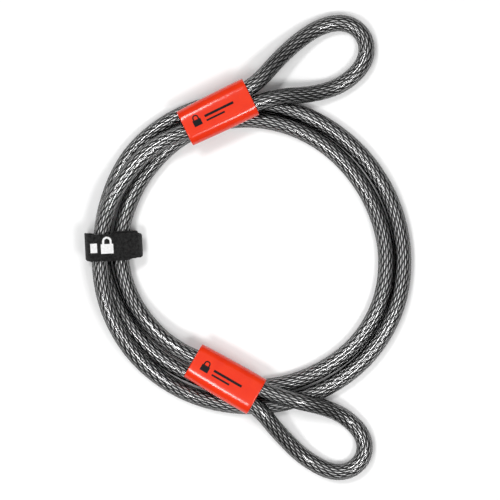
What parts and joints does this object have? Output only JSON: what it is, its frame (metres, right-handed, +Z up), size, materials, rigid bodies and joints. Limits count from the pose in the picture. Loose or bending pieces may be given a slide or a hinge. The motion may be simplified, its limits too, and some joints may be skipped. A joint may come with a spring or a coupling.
{
  "type": "double-loop security cable",
  "caption": "Coiled vinyl-coated wire rope with a looped eye and a red ferrule sleeve at each end, bundled by a black hook-and-loop strap; an eye takes a padlock shackle or U-lock.",
  "frame": {"origin": "middle of the object's footprint, on the surface it lies on", "axes": "+Z up, square to the coil; +Y towards the eye at the top of the coil (eye 1); +X away from the strap"},
  "size_m": [0.1975, 0.282, 0.025],
  "materials": {
    "wire_rope": "bright galvanised wires, laid as a rope",
    "jacket": "smoky see-through vinyl, glossy",
    "ferrule": "swaged, satin",
    "sleeve": "glossy orange-red",
    "strap_tape": "matte black napped webbing",
    "strap_hooks": "black moulded hooks",
    "strap_pile": "matte black loop pile"
  },
  "bodies": {
    "cable": {"rope_eye_1": "wire_rope", "rope_coil": "wire_rope", "rope_eye_2": "wire_rope", "jacket_eye_1": "jacket", "jacket_coil": "jacket", "jacket_eye_2": "jacket", "ferrule_1": "ferrule", "ferrule_2": "ferrule", "sleeve_1": "sleeve", "sleeve_2": "sleeve"},
    "strap": {"strap_band": "strap_tape", "strap_hook_field": "strap_hooks"},
    "strap_flap": {"strap_tail": "strap_tape", "strap_loop_pile": "strap_pile"}
  },
  "joints": [
    {"name": "strap_slide", "type": "hinge", "parent": "cable", "child": "strap", "pos_m": [0.0042, -0.0058, 0], "axis": [0, 0, 1], "range_deg": [-5, 5]},
    {"name": "strap_peel", "type": "hinge", "parent": "strap", "child": "strap_flap", "pos_m": [-0.0979, -0.00078, 0.01276], "axis": [0.0523, -0.9986, 0], "range_deg": [0, 150]}
  ]
}
